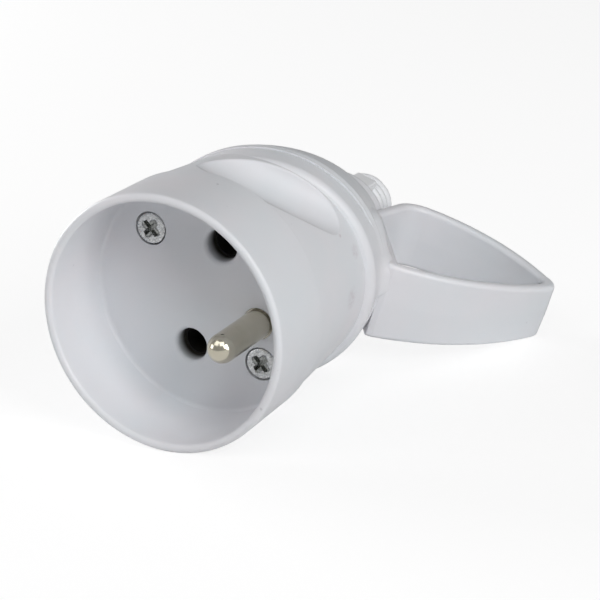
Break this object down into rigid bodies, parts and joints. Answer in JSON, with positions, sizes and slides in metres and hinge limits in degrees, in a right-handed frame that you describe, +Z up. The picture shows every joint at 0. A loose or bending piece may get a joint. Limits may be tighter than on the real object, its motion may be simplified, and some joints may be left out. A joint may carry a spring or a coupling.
{
  "type": "cord socket",
  "caption": "Round white cord socket with a deep recess, a round earth pin, side finger scoops, a slanted rear cover with a pulling loop and a ribbed cord sleeve.",
  "frame": {"origin": "centre of the recess floor, the face that a plug's front seats on, on the socket's axis", "axes": "+Y along the socket's axis from the recess back to the cord sleeve, +Z up as the socket lies on a table, +X towards the side that the pulling loop leans to"},
  "size_m": [0.0615, 0.0719, 0.043],
  "materials": {
    "white_plastic": "satin moulded",
    "white_soft": "soft moulded",
    "dark_insulator": "moulded",
    "nickelled_brass": "nickel plated",
    "contact_brass": "stamped and turned",
    "screw_steel": "bright zinc"
  },
  "bodies": {
    "root": {"clamp_screw_1": "screw_steel", "clamp_screw_2": "screw_steel", "contact_base": "dark_insulator", "contact_spring_1": "screw_steel", "contact_spring_2": "screw_steel", "cord_clamp": "white_plastic", "cord_sleeve": "white_soft", "earth_pin": "nickelled_brass", "earth_terminal": "contact_brass", "earth_terminal_screw": "screw_steel", "front_housing": "white_plastic", "housing_screw_1": "screw_steel", "housing_screw_2": "screw_steel", "live_contact_1": "contact_brass", "live_contact_2": "contact_brass", "live_terminal_screw_1": "screw_steel", "live_terminal_screw_2": "screw_steel", "rear_cover": "white_plastic", "thread_insert_1": "contact_brass", "thread_insert_2": "contact_brass"}
  },
  "joints": []
}
